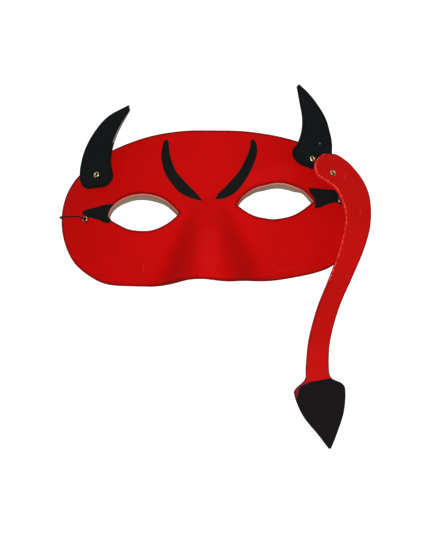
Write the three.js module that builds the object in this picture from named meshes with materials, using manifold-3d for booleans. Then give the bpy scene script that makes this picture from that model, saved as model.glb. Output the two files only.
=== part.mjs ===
// A half mask of red moulded leather: a devil's face with two black horns and a pointed tail.
// Millimetres. The mask lies face up: +X is the viewer's right, +Y is toward the forehead and +Z
// comes out of the face. Every outline below is in plan, as seen from straight above the face.
import * as THREE from 'three';
import { mergeVertices } from 'three/addons/utils/BufferGeometryUtils.js';
import Module from 'manifold-3d';

const wasm = await Module();
wasm.setup();

// Leather
const maskThickness = 3.0;
const hornThickness = 2.2;
const tailThickness = 2.2;
const gap = 0.3;

// The moulded face
const crownHeight = 36; // the middle of the leather above the floor, between the eyes
const archRadius = 130; // across the face, at eye level
const archTaper = 0.6; // the arch gets tighter toward the forehead
const recline = 0.18; // the forehead lies lower than the chin side
const foreheadRadius = 260;
const cheekRadius = 100;
const noseHeight = 28.4;
const noseLength = 48;
const noseTop = 4;
const noseRise = 1.15; // over 1, the nose starts gently between the eyes
const noseLean = -1.9; // its tip is a little to the left
const noseHalfWidth = 8.1;
const noseSpread = 13.2;
const noseSteepness = 2.95; // the higher, the flatter its ridge and the steeper its sides

// How far the knife leans along the upper rims of the eye holes, at places across the face, and the
// height above which it leans
const leftLean = [[-58, 0.1], [-56.5, 1.2], [-54, 1.8], [-47, 2.8], [-40, 3.1], [-31, 3.6], [-20, 3.3]];
const rightLean = [[16, 1.6], [25, 2.4], [38, 2.5], [45, 2.6], [51, 2.4], [56, 0.4]];
const leftSill = -4;
const rightSill = -1.6;
const leanRise = 2;

// Where the eyelets sit
const leftHornEyelet = [-61.8, 24.4];
const rightHornEyelet = [60.8, 24.9];
const tailEyelet = [70.1, 15];
const leftLacing = [-71.5, -0.4];
const rightLacing = [76.8, 1];

// Eyelets
const fixingBore = 0.7;
const fixingBarrel = 1.1;
const fixingFlange = 1.85;
const lacingBore = 0.9;
const lacingBarrel = 1.2;
const lacingFlange = 1.8;
const flangeThickness = 0.45;
const flangeInner = 0.6; // height of the roll at the bore, as a share of the flange's thickness
const flangeOuter = 0.4; // and at its outer rim
const flangeGap = 0.4; // between a flange and the leather
const tailFlangeGap = 0.6; // the tail's surface leans against its eyelet

// Horns and tail above the mask
const hornLift = 0.75;
const hornSideSlope = 0.92; // share of the mask's own slope
const hornForeSlope = 0.74;
const hornCurlStart = 4;
const hornCurlRadius = 80;
const hornTwist = 0.6; // share of the side slope that is gone at the tip
const hornTwistStart = 12;
const hornTwistEnd = 36;
const tailLift = 3.8; // the tail's root lies over the corner of the right horn
const tailSideSlope = -0.64;
const tailForeSlope = -0.28;
const tailAxisX = 76;

// The elastic strap and its stopper knots
const strapRadius = 0.4;
const knotRadius = 1.4;
const knotDepth = 4; // the middle of a knot, behind the middle of the leather
const knotShape = [1.1, 0.95, 0.85];

// How finely the shapes are divided
const edgeSegments = 88;
const rings = 8;
const eyeSegments = 36;
const hornRows = 20;
const tailRows = 64;
const columns = 3;
const punchSides = 16;
const eyeletSides = 12;
const knotSides = [10, 8];
const strapQuarterSides = 2;
const strapStepsPerPoint = 2;
const sameCorner = 1e-5;
const knifeReach = 5; // on both sides of the leather's middle
const punchLength = 24;
const slabWidth = 400;
const slabDepth = 40;

const smooth = THREE.MathUtils.smoothstep;

// The middle of the mask's leather, as a height over the plan
function maskHeight(x, y) {
  const radius = archRadius - archTaper * y;
  const arch = radius - Math.sqrt(radius * radius - x * x);
  const fall = (y * y) / (2 * (y > 0 ? foreheadRadius : cheekRadius));
  const along = THREE.MathUtils.clamp((noseTop - y) / noseLength, 0, 1) ** noseRise;
  const across = (x - noseLean * along) / (noseHalfWidth + noseSpread * along);
  const nose = noseHeight * along * Math.exp(-(Math.abs(across) ** noseSteepness));
  return crownHeight - arch - recline * y - fall + nose;
}

function normalOf(height, x, y) {
  const step = 0.05;
  const slopeX = (height(x + step, y) - height(x - step, y)) / (2 * step);
  const slopeY = (height(x, y + step) - height(x, y - step)) / (2 * step);
  return new THREE.Vector3(-slopeX, -slopeY, 1).normalize();
}

// The point that lies a distance off a surface, along its normal
function pointOff(height, x, y, distance) {
  return new THREE.Vector3(x, y, height(x, y)).addScaledVector(normalOf(height, x, y), distance);
}

// A horn starts nearly parallel to the mask under its eyelet, then curls and twists forward
function hornHeight([eyeletX, eyeletY]) {
  const distance = maskThickness / 2 + hornLift + hornThickness / 2;
  const root = pointOff(maskHeight, eyeletX, eyeletY, distance);
  const normal = normalOf(maskHeight, eyeletX, eyeletY);
  const slopeX = (-normal.x / normal.z) * hornSideSlope;
  const slopeY = (-normal.y / normal.z) * hornForeSlope;
  return (x, y) => {
    const curl = Math.max(0, y - root.y - hornCurlStart);
    const sideSlope = slopeX * (1 - hornTwist * smooth(y - root.y, hornTwistStart, hornTwistEnd));
    const rise = sideSlope * (x - root.x) + slopeY * (y - root.y);
    return root.z + rise + (curl * curl) / (2 * hornCurlRadius);
  };
}

// The tail goes over the mask's side and down to the floor. Each station is
// [y, height at tailAxisX, slope across].
const tailRoot = pointOff(maskHeight, ...tailEyelet, maskThickness / 2 + tailLift + tailThickness / 2);
const tailRootHeight = (y) =>
  tailRoot.z - tailSideSlope * (tailRoot.x - tailAxisX) + tailForeSlope * (y - tailRoot.y);
const tailFloor = tailThickness / 2;
const tailStations = [
  [-150, tailFloor, 0],
  [-100, tailFloor, 0],
  [-86, 2.7, -0.03],
  [-68, 8.9, -0.1],
  [-52, 16.5, -0.2],
  [-38, 22, -0.36],
  [-22, 22.4, -0.5],
  [0, 20, -0.6],
  [18, tailRootHeight(18), tailSideSlope],
  [32, tailRootHeight(32), tailSideSlope],
];

// A smooth run through stations that never swings past them
function monotone(stations, column) {
  const ys = stations.map((station) => station[0]);
  const values = stations.map((station) => station[column]);
  const slopes = ys.slice(1).map((y, i) => (values[i + 1] - values[i]) / (y - ys[i]));
  const tangents = ys.map((y, i) => {
    if (i === 0) return 0;
    if (i === ys.length - 1) return slopes[i - 1];
    if (slopes[i - 1] * slopes[i] <= 0) return 0;
    const before = ys[i] - ys[i - 1];
    const after = ys[i + 1] - ys[i];
    const weightA = 2 * after + before;
    const weightB = after + 2 * before;
    return (weightA + weightB) / (weightA / slopes[i - 1] + weightB / slopes[i]);
  });
  return (y) => {
    let i = ys.findIndex((end, k) => k > 0 && y <= end) - 1;
    if (i < 0) i = ys.length - 2;
    const width = ys[i + 1] - ys[i];
    const t = (y - ys[i]) / width;
    const rise = t * t * (3 - 2 * t);
    const bend = width * t * (1 - t) * (tangents[i] * (1 - t) - tangents[i + 1] * t);
    return values[i] * (1 - rise) + values[i + 1] * rise + bend;
  };
}
const tailMiddle = monotone(tailStations, 1);
const tailAcross = monotone(tailStations, 2);
const tailHeight = (x, y) => tailMiddle(y) + tailAcross(y) * (x - tailAxisX);

// Outlines
const maskEdge = [
  [-86.1, 2.6], [-84.8, -12.5], [-79.5, -25.4], [-70.3, -34.8], [-60, -40.5], [-44.1, -43.2],
  [-28.8, -44.8], [-13.7, -45.2], [-5, -45.8], [7.5, -47.7], [19.9, -46.3], [38.7, -45.1], [58.2, -42],
  [70.1, -37.3], [79.1, -28.2], [84.2, -15.9], [86.2, -1], [83.4, 15], [75, 27], [63, 34.5],
  [46, 39.8], [27.6, 43.3], [8, 44.9], [-11.6, 46.1], [-32.7, 44.8], [-53.5, 39.6], [-66, 32.9],
  [-76.4, 25.8], [-83.3, 15.7],
];

// The rims of the eye holes, in runs that meet at sharp corners
const leftEye = [
  [
    [-16.5, -3.7], [-21.1, -7.6], [-26.2, -10.3], [-31.6, -12], [-37.2, -12.2], [-46.1, -10.2],
    [-53.8, -5.2], [-57.4, -1.5], [-57.3, 0.6], [-55.1, 4.4], [-50.2, 8], [-43.6, 10.1], [-36, 9.9],
    [-29.6, 8], [-24.5, 5.2], [-20.6, 1.2], [-16.5, -3.7],
  ],
];
const rightEye = [
  [
    [60.6, -0.1], [55.6, 6], [50.2, 9], [43.7, 10.9], [38, 10.8], [33.1, 9.7], [27.4, 8.3],
    [20.8, 4.1], [16.5, -1.2],
  ],
  [
    [16.5, -1.2], [20.5, -4.8], [26.1, -8.2], [32.1, -9.8], [38, -10.5], [46.9, -8.9], [54, -5.3],
    [60.6, -0.1],
  ],
];

// The two edges of each horn, from the middle of its base to its tip
const leftHornInner = [
  [-62.2, 17.7], [-58.7, 18.1], [-55.9, 20.3], [-54.3, 24.1], [-55.2, 31.8], [-54, 40], [-50.9, 48.2],
  [-46.9, 55.4], [-42, 62.4],
];
const leftHornOuter = [
  [-65, 18], [-70.6, 18.4], [-73.2, 21.6], [-73.9, 26.9], [-72.8, 34.3], [-69.7, 43], [-63.6, 52.3],
  [-54.8, 60.6], [-42.4, 65.7],
];
const rightHornInner = [
  [64.3, 19.7], [56.4, 22.6], [53.1, 25.2], [51.6, 28.5], [52, 32.5], [55.1, 36.4], [58, 44],
  [58.9, 52.2], [57.9, 61.5], [56.9, 70.2],
];
const rightHornOuter = [
  [66.7, 18.7], [71.5, 20.4], [73.9, 24.5], [74.7, 30.6], [75.2, 36.7], [74.4, 44], [72.4, 52.2],
  [67.8, 60.6], [63.1, 66.9], [58.3, 71.7],
];

// The two edges of the tail, from its root to the tip of its spade
const tailInner = [
  [68.1, 28.2], [64.5, 24.3], [63.4, 19.5], [65.1, 15.1], [70.1, 11.4], [74.9, 7.3], [78, 0],
  [79.4, -9.1], [77.8, -18], [73.1, -32], [66.5, -46.5], [58.9, -62], [53.1, -79], [50.5, -94.1],
  [49.5, -101.2], [43.7, -106.3], [42.7, -110.3], [46.8, -122.4], [55.3, -134.7], [60.4, -142.5],
];
const tailOuter = [
  [70.7, 29], [76.9, 28.8], [82.9, 24.9], [87.6, 19.7], [91.5, 13.5], [94.1, 6.1], [94.9, -2],
  [94.1, -12], [91.4, -22.2], [86.2, -34.3], [79.4, -47.1], [71.6, -62.5], [65.8, -80], [64.1, -95],
  [65.1, -101.4], [71.2, -105.2], [72.7, -110], [70.8, -122.2], [65.7, -134.7], [61.8, -142.7],
];

function splineThrough(points, closed) {
  const corners = points.map(([x, y]) => new THREE.Vector3(x, y, 0));
  return new THREE.CatmullRomCurve3(corners, closed, 'catmullrom', 0.5);
}

// A closed mesh with shared corners, facing out
function closedMesh(geometry) {
  const bare = geometry.clone();
  bare.deleteAttribute('normal');
  bare.deleteAttribute('uv');
  const merged = mergeVertices(bare, sameCorner);
  const corners = Array.from(merged.index.array);
  const place = merged.attributes.position;
  let triangles = [];
  let volume = 0;
  const [a, b, c] = [new THREE.Vector3(), new THREE.Vector3(), new THREE.Vector3()];
  for (let i = 0; i < corners.length; i += 3) {
    const [i0, i1, i2] = corners.slice(i, i + 3);
    if (i0 === i1 || i1 === i2 || i2 === i0) continue;
    triangles.push([i0, i1, i2]);
    a.fromBufferAttribute(place, i0);
    b.fromBufferAttribute(place, i1);
    c.fromBufferAttribute(place, i2);
    volume += a.dot(b.cross(c));
  }
  if (volume < 0) triangles = triangles.map(([i0, i1, i2]) => [i0, i2, i1]);
  return { vertProperties: new Float32Array(place.array), triVerts: new Uint32Array(triangles.flat()) };
}

function solidOf(geometry) {
  const { vertProperties, triVerts } = closedMesh(geometry);
  const mesh = new wasm.Mesh({ numProp: 3, vertProperties, triVerts });
  mesh.merge();
  return new wasm.Manifold(mesh);
}

function geometryOf(solid) {
  const mesh = solid.getMesh();
  const geometry = new THREE.BufferGeometry();
  geometry.setAttribute('position', new THREE.BufferAttribute(mesh.vertProperties, 3));
  geometry.setIndex(new THREE.BufferAttribute(mesh.triVerts, 1));
  geometry.computeVertexNormals();
  return geometry;
}

// Moves every vertex of a geometry to where a function says
function reshaped(geometry, place) {
  const position = geometry.attributes.position;
  for (let i = 0; i < position.count; i += 1) {
    const { x, y, z } = place(position.getX(i), position.getY(i), position.getZ(i), i);
    position.setXYZ(i, x, y, z);
  }
  return geometry;
}

// A sheet with a round outline: a disc whose rings shrink from the outline to the middle
function moulded(outline, height, thickness) {
  const profile = [];
  for (let k = 0; k <= rings; k += 1) profile.push(new THREE.Vector2(k / rings, -1));
  for (let k = rings; k >= 0; k -= 1) profile.push(new THREE.Vector2(k / rings, 1));
  const disc = new THREE.LatheGeometry(profile, edgeSegments);
  const edge = splineThrough(outline, true).getPoints(edgeSegments);
  return reshaped(disc, (x, y, z, i) => {
    const { x: share, y: side } = profile[i % profile.length];
    const rim = edge[Math.floor(i / profile.length) % edgeSegments];
    return pointOff(height, rim.x * share, rim.y * share, (side * thickness) / 2);
  });
}

// A strip between two edges
function strip(inner, outer, height, thickness, rows) {
  const [one, other] = [splineThrough(inner, false), splineThrough(outer, false)];
  return reshaped(new THREE.BoxGeometry(1, 1, 1, rows, columns, 1), (x, y, z) => {
    const point = one.getPoint(x + 0.5).lerp(other.getPoint(x + 0.5), y + 0.5);
    return pointOff(height, point.x, point.y, z * thickness);
  });
}

// The value at a place in a table of pairs, straight from one pair to the next
function valueAt(table, place) {
  const next = table.findIndex(([at]) => at > place);
  if (next === 0) {
    return table[0][1];
  }
  if (next < 0) {
    return table[table.length - 1][1];
  }
  const [from, start] = table[next - 1];
  const [to, end] = table[next];
  return THREE.MathUtils.mapLinear(place, from, to, start, end);
}

// A knife that cuts an eye hole, leaning along the upper rim
function eyeKnife(runs, leans, sill) {
  const segments = eyeSegments / runs.length;
  const rim = runs.flatMap((run) => splineThrough(run, false).getPoints(segments).slice(0, -1));
  const shape = new THREE.Shape(rim.map(({ x, y }) => new THREE.Vector2(x, y)));
  const plug = new THREE.ExtrudeGeometry(shape, { depth: 1, bevelEnabled: false });
  return reshaped(plug, (x, y, z) => {
    const distance = (2 * z - 1) * knifeReach;
    const upper = THREE.MathUtils.clamp(1 - (sill - y) / leanRise, 0, 1);
    const lean = (valueAt(leans, x) * upper * (maskThickness / 2 - distance)) / maskThickness;
    return pointOff(maskHeight, x, y - lean, distance);
  });
}

// A round punch through the leather at an eyelet
function punch([x, y], radius) {
  const rod = new THREE.CylinderGeometry(radius, radius, punchLength, punchSides);
  const turn = new THREE.Quaternion().setFromUnitVectors(
    new THREE.Vector3(0, 1, 0),
    normalOf(maskHeight, x, y),
  );
  rod.applyQuaternion(turn);
  rod.translate(x, y, maskHeight(x, y));
  return solidOf(rod);
}

function belowFloor() {
  const slab = new THREE.BoxGeometry(slabWidth, slabWidth, slabDepth);
  slab.translate(0, 0, -slabDepth / 2);
  return solidOf(slab);
}

// Materials
const finish = (color, roughness, metalness = 0) => () =>
  new THREE.MeshStandardMaterial({ color, roughness, metalness });
const redLeather = finish(0xc20c0a, 0.6);
const tailLeather = finish(0xb8120c, 0.6);
const blackLeather = finish(0x191a1c, 0.65);
const brass = finish(0xc9a45c, 0.35, 0.9);
const elastic = finish(0x151515, 0.9);

const devilMask = new THREE.Group();
function add(name, geometry, material, parent = devilMask) {
  const mesh = new THREE.Mesh(geometry, material());
  mesh.name = name;
  parent.add(mesh);
  return mesh;
}

// The mask
const fixingHole = fixingBarrel + gap;
const lacingHole = lacingBarrel + gap;
let mask = solidOf(moulded(maskEdge, maskHeight, maskThickness));
mask = mask.subtract(solidOf(eyeKnife(leftEye, leftLean, leftSill)));
mask = mask.subtract(solidOf(eyeKnife(rightEye, rightLean, rightSill)));
for (const place of [leftHornEyelet, rightHornEyelet, tailEyelet]) {
  mask = mask.subtract(punch(place, fixingHole));
}
for (const place of [leftLacing, rightLacing]) mask = mask.subtract(punch(place, lacingHole));
mask = mask.subtract(belowFloor());
add('mask', geometryOf(mask), redLeather);

// The horns
const leftHornHeight = hornHeight(leftHornEyelet);
const rightHornHeight = hornHeight(rightHornEyelet);
const leftHorn = strip(leftHornInner, leftHornOuter, leftHornHeight, hornThickness, hornRows);
const rightHorn = strip(rightHornInner, rightHornOuter, rightHornHeight, hornThickness, hornRows);
const leftHornHole = punch(leftHornEyelet, fixingHole);
const rightHornHole = punch(rightHornEyelet, fixingHole);
add('horn_left', geometryOf(solidOf(leftHorn).subtract(leftHornHole)), blackLeather);
add('horn_right', geometryOf(solidOf(rightHorn).subtract(rightHornHole)), blackLeather);

// The tail with its spade
const tail = strip(tailInner, tailOuter, tailHeight, tailThickness, tailRows);
add('tail', geometryOf(solidOf(tail).subtract(punch(tailEyelet, fixingHole))), tailLeather);

// An eyelet: a barrel with a rolled flange at each end, around the origin, along +Z
function eyelet(bore, barrel, flange, low, high) {
  const profile = [
    [bore, low - flangeThickness * flangeInner],
    [(bore + flange) / 2, low - flangeThickness],
    [flange, low - flangeThickness * flangeOuter],
    [flange, low],
    [barrel, low],
    [barrel, high],
    [flange, high],
    [flange, high + flangeThickness * flangeOuter],
    [(bore + flange) / 2, high + flangeThickness],
    [bore, high + flangeThickness * flangeInner],
    [bore, low - flangeThickness * flangeInner],
  ].map(([radius, z]) => new THREE.Vector2(radius, z));
  const ring = new THREE.LatheGeometry(profile, eyeletSides);
  ring.rotateX(Math.PI / 2);
  return geometryOf(solidOf(ring));
}

function addEyelet(name, [x, y], sizes, low, high) {
  const mesh = add(name, eyelet(...sizes, low, high), brass);
  mesh.position.set(x, y, maskHeight(x, y));
  mesh.quaternion.setFromUnitVectors(new THREE.Vector3(0, 0, 1), normalOf(maskHeight, x, y));
}
const fixing = [fixingBore, fixingBarrel, fixingFlange];
const lacing = [lacingBore, lacingBarrel, lacingFlange];
const under = -maskThickness / 2 - flangeGap;
const overMask = maskThickness / 2 + flangeGap;
const overHorn = maskThickness / 2 + hornLift + hornThickness + flangeGap;
const overTail = maskThickness / 2 + tailLift + tailThickness + tailFlangeGap;
addEyelet('eyelet_horn_left', leftHornEyelet, fixing, under, overHorn);
addEyelet('eyelet_horn_right', rightHornEyelet, fixing, under, overHorn);
addEyelet('eyelet_tail', tailEyelet, fixing, under, overTail);
addEyelet('eyelet_lace_left', leftLacing, lacing, under, overMask);
addEyelet('eyelet_lace_right', rightLacing, lacing, under, overMask);

// The strap: out of the left lacing eyelet, round the mask's edge, in loose curves under the mask,
// round the other edge and into the right lacing eyelet
const strapRoute = [
  [-70.3, -0.9, 12.8], [-71.9, -0.2, 15.3], [-72.6, 0.1, 16.3], [-73.3, 0.4, 16.8],
  [-74.2, 0.8, 16.6], [-74.9, 1.2, 15.8], [-75.8, 1.8, 14.4], [-78.3, 2.5, 11.7], [-81.2, 3, 9.3],
  [-83.9, 3.4, 7.1], [-85.8, 3.7, 5.8], [-87.2, 3.9, 4.8], [-87.8, 3.9, 3.6], [-87.5, 3.7, 2.7],
  [-86.9, 3.4, 1.65], [-86, 3.1, 0.8], [-84.6, 3, 0.46], [-81, 3.4, 0.45],
  [-74, 8, 0.45], [-66, 19, 0.45], [-52, 28.5, 0.45], [-36, 29, 0.45], [-22, 22, 0.45],
  [-13, 12, 0.45], [-4, 3.5, 0.45], [6, 3, 0.45], [14, 13, 0.45], [24, 25, 0.45], [40, 29.5, 0.45],
  [56, 25, 0.45], [71, 12, 0.45], [80, 4, 0.45], [84.6, 2.2, 0.5], [86.8, 1.8, 0.95],
  [88.1, 1.6, 2], [88.3, 1.7, 3.4], [87.2, 2, 5.4], [84.2, 2.2, 9.9],
  [81.2, 2.2, 13.1], [79.2, 1.9, 13.4], [77.9, 1.5, 12.2], [75.5, 0.5, 8.8],
];
const strapPath = new THREE.CatmullRomCurve3(strapRoute.map((point) => new THREE.Vector3(...point)));
// Steps follow the points of the route, so they are short where the strap bends round an edge
strapPath.getPointAt = strapPath.getPoint;
strapPath.getTangentAt = strapPath.getTangent;
const strapSection = new THREE.Shape();
strapSection.absarc(0, 0, strapRadius, 0, 2 * Math.PI);
const strap = new THREE.ExtrudeGeometry(strapSection, {
  curveSegments: 2 * strapQuarterSides,
  steps: strapStepsPerPoint * (strapRoute.length - 1),
  bevelEnabled: false,
  extrudePath: strapPath,
});
add('strap', geometryOf(solidOf(strap)), elastic);

// Each knot stops the strap behind its lacing eyelet
function addKnot(name, place) {
  const knot = new THREE.SphereGeometry(knotRadius, ...knotSides);
  knot.scale(...knotShape);
  const mesh = add(name, geometryOf(solidOf(knot)), elastic);
  mesh.position.copy(pointOff(maskHeight, ...place, -knotDepth));
}
addKnot('strap_knot_left', leftLacing);
addKnot('strap_knot_right', rightLacing);

// The origin is under the middle of the mask, horns and tail, on the floor
devilMask.updateMatrixWorld(true);
const reach = new THREE.Box3();
for (const mesh of devilMask.children) {
  if (!mesh.name.startsWith('strap')) reach.expandByObject(mesh, true);
}
const middle = reach.getCenter(new THREE.Vector3());
devilMask.position.set(-middle.x, -middle.y, -reach.min.z);

export default devilMask;
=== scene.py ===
import math

import bpy
import numpy as np
from mathutils import Matrix, Vector, noise
from mathutils.geometry import delaunay_2d_cdt


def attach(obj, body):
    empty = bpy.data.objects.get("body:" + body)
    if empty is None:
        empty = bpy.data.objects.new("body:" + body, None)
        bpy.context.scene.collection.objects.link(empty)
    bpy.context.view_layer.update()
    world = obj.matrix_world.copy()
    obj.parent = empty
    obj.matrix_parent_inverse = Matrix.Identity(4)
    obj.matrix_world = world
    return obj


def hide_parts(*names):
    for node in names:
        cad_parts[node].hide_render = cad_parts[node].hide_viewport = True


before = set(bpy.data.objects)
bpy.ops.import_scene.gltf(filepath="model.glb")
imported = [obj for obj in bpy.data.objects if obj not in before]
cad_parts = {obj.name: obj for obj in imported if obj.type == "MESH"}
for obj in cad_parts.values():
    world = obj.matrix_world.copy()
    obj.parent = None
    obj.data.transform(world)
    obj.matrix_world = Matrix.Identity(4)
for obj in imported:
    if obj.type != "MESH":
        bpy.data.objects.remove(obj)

# A leather devil half mask, lying face up. Its leather is laid out in plan, in millimetres: +X is the
# viewer's right, +Y the forehead and +Z out of the face. Blender gets it in metres, in the row frame.
MM = 0.001
PLAN_ORIGIN = np.array([-4.18924, 35.3752, 0.0])
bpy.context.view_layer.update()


def placed(points):
    return (np.asarray(points, float) + PLAN_ORIGIN) * MM


def add_object(name, data):
    made = bpy.data.objects.new(name, data)
    bpy.context.scene.collection.objects.link(made)
    return made


def add_piece(name, points, faces, materials, attributes, slots=None):
    """A smooth mesh from points in plan, with attributes that hold one value for each point"""
    mesh = bpy.data.meshes.new(name)
    mesh.from_pydata(placed(points).tolist(), [], faces)
    for label, values in attributes.items():
        layer = mesh.attributes.new(label, "FLOAT", "POINT")
        layer.data.foreach_set("value", np.array(values, np.float32))
    if slots is not None:
        mesh.polygons.foreach_set("material_index", np.array(slots, np.int32))
    mesh.shade_smooth()
    for material in materials:
        mesh.materials.append(material)
    mesh.update()
    return add_object(name, mesh)


# The camera looks down on the face, a little from the chin side
CAMERA_TILT = math.radians(7.5)
CAMERA_ROLL = math.radians(3.9)
CAMERA_DISTANCE = 1200
CAMERA_TARGET = np.array([3, -35, 20])
MM_PER_PIXEL = 0.58
FRAME_HEIGHT = 537
SENSOR = 36


def look_down():
    """The directions right, up and back of the camera"""
    across = np.array([1, 0, 0])
    rise = np.array([0, math.cos(CAMERA_TILT), math.sin(CAMERA_TILT)])
    back = np.array([0, -math.sin(CAMERA_TILT), math.cos(CAMERA_TILT)])
    right = math.cos(CAMERA_ROLL) * across - math.sin(CAMERA_ROLL) * rise
    up = math.sin(CAMERA_ROLL) * across + math.cos(CAMERA_ROLL) * rise
    return right, up, back


def aimed(turn, place):
    """The matrix of an object whose axes are three directions"""
    matrix = np.identity(4)
    matrix[:3, :3] = np.stack(turn, axis=1)
    matrix[:3, 3] = place
    return Matrix(matrix)


def add_camera():
    turn = look_down()
    camera = add_object("camera", bpy.data.cameras.new("camera"))
    camera.data.sensor_width = SENSOR
    camera.data.lens = SENSOR * CAMERA_DISTANCE / (FRAME_HEIGHT * MM_PER_PIXEL)
    camera.matrix_world = aimed(turn, placed(CAMERA_TARGET + CAMERA_DISTANCE * turn[2]))
    bpy.context.scene.camera = camera


# Leather
MASK_THICKNESS = 3.0
HORN_THICKNESS = 2.2
TAIL_THICKNESS = 2.2

# The moulded face
CROWN_HEIGHT = 36
ARCH_RADIUS = 130
ARCH_TAPER = 0.6
RECLINE = 0.18
FOREHEAD_RADIUS = 260
CHEEK_RADIUS = 100
NOSE_HEIGHT = 28.4
NOSE_LENGTH = 48
NOSE_TOP = 4
NOSE_RISE = 1.15
NOSE_LEAN = -1.9
NOSE_HALF_WIDTH = 8.1
NOSE_SPREAD = 13.2
NOSE_STEEPNESS = 2.95

# Eyelets, in plan at the middle of the mask's leather
LEFT_HORN_EYELET = (-61.8, 24.4)
RIGHT_HORN_EYELET = (60.8, 24.9)
TAIL_EYELET = (70.1, 15)
LEFT_LACING = (-71.5, -0.4)
RIGHT_LACING = (76.8, 1)

# Horns and tail above the mask
HORN_LIFT = 0.75
HORN_SIDE_SLOPE = 0.92
HORN_FORE_SLOPE = 0.74
HORN_CURL_START = 4
HORN_CURL_RADIUS = 80
HORN_TWIST = 0.6
HORN_TWIST_START = 12
HORN_TWIST_END = 36
TAIL_LIFT = 3.8
TAIL_SIDE_SLOPE = -0.64
TAIL_FORE_SLOPE = -0.28
TAIL_AXIS_X = 76


def smooth(share):
    share = np.clip(share, 0, 1)
    return share * share * (3 - 2 * share)


def mask_height(x, y):
    radius = ARCH_RADIUS - ARCH_TAPER * y
    arch = radius - np.sqrt(radius * radius - x * x)
    fall = y * y / (2 * np.where(y > 0, FOREHEAD_RADIUS, CHEEK_RADIUS))
    along = np.clip((NOSE_TOP - y) / NOSE_LENGTH, 0, 1) ** NOSE_RISE
    across = (x - NOSE_LEAN * along) / (NOSE_HALF_WIDTH + NOSE_SPREAD * along)
    nose = NOSE_HEIGHT * along * np.exp(-np.abs(across) ** NOSE_STEEPNESS)
    return CROWN_HEIGHT - arch - RECLINE * y - fall + nose


def unit(vectors):
    return vectors / np.linalg.norm(vectors, axis=-1, keepdims=True)


def normal_of(height, x, y):
    step = 0.05
    slope_x = (height(x + step, y) - height(x - step, y)) / (2 * step)
    slope_y = (height(x, y + step) - height(x, y - step)) / (2 * step)
    return unit(np.stack([-slope_x, -slope_y, np.ones_like(slope_x)], axis=-1))


def off(height, plan, distance):
    """The points that lie a distance off a surface, along its normal"""
    plan = np.asarray(plan, float)
    x, y = plan[..., 0], plan[..., 1]
    base = np.stack([x, y, height(x, y)], axis=-1)
    return base + normal_of(height, x, y) * np.asarray(distance, float)[..., None]


def horn_height(eyelet):
    root = off(mask_height, eyelet, MASK_THICKNESS / 2 + HORN_LIFT + HORN_THICKNESS / 2)
    normal = normal_of(mask_height, *eyelet)
    slope_x = -normal[0] / normal[2] * HORN_SIDE_SLOPE
    slope_y = -normal[1] / normal[2] * HORN_FORE_SLOPE

    def height(x, y):
        curl = np.maximum(0, y - root[1] - HORN_CURL_START) ** 2 / (2 * HORN_CURL_RADIUS)
        twist = smooth((y - root[1] - HORN_TWIST_START) / (HORN_TWIST_END - HORN_TWIST_START))
        side_slope = slope_x * (1 - HORN_TWIST * twist)
        return root[2] + side_slope * (x - root[0]) + slope_y * (y - root[1]) + curl

    return height


def monotone(stations, column):
    """A smooth run through stations that never swings past them"""
    places = np.array([station[0] for station in stations], float)
    values = np.array([station[column] for station in stations], float)
    widths = np.diff(places)
    slopes = np.diff(values) / widths
    tangents = np.zeros(len(places))
    tangents[-1] = slopes[-1]
    for i in range(1, len(slopes)):
        if slopes[i - 1] * slopes[i] > 0:
            first = 2 * widths[i] + widths[i - 1]
            second = widths[i] + 2 * widths[i - 1]
            tangents[i] = (first + second) / (first / slopes[i - 1] + second / slopes[i])

    def run(place):
        i = np.clip(np.searchsorted(places, place) - 1, 0, len(widths) - 1)
        t = (place - places[i]) / widths[i]
        bend = widths[i] * t * (1 - t) * (tangents[i] * (1 - t) - tangents[i + 1] * t)
        return values[i] + (values[i + 1] - values[i]) * t * t * (3 - 2 * t) + bend

    return run


def tail_surface():
    root = off(mask_height, TAIL_EYELET, MASK_THICKNESS / 2 + TAIL_LIFT + TAIL_THICKNESS / 2)

    def root_height(y):
        return root[2] - TAIL_SIDE_SLOPE * (root[0] - TAIL_AXIS_X) + TAIL_FORE_SLOPE * (y - root[1])

    floor = TAIL_THICKNESS / 2
    # Each station is y, height at the tail's axis and slope across
    stations = [
        (-150, floor, 0), (-100, floor, 0), (-86, 2.7, -0.03), (-68, 8.9, -0.1), (-52, 16.5, -0.2),
        (-38, 22, -0.36), (-22, 22.4, -0.5), (0, 20, -0.6),
        (18, root_height(18), TAIL_SIDE_SLOPE), (32, root_height(32), TAIL_SIDE_SLOPE),
    ]
    middle, across = monotone(stations, 1), monotone(stations, 2)
    return lambda x, y: middle(y) + across(y) * (x - TAIL_AXIS_X)


left_horn_height = horn_height(LEFT_HORN_EYELET)
right_horn_height = horn_height(RIGHT_HORN_EYELET)
tail_height = tail_surface()

# Outlines in plan
MASK_EDGE = [
    (-86.1, 2.6), (-84.8, -12.5), (-79.5, -25.4), (-70.3, -34.8), (-60, -40.5), (-44.1, -43.2),
    (-28.8, -44.8), (-13.7, -45.2), (-5, -45.8), (7.5, -47.7), (19.9, -46.3), (38.7, -45.1),
    (58.2, -42), (70.1, -37.3), (79.1, -28.2), (84.2, -15.9), (86.2, -1), (83.4, 15), (75, 27),
    (63, 34.5), (46, 39.8), (27.6, 43.3), (8, 44.9), (-11.6, 46.1), (-32.7, 44.8), (-53.5, 39.6),
    (-66, 32.9), (-76.4, 25.8), (-83.3, 15.7),
]
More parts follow.
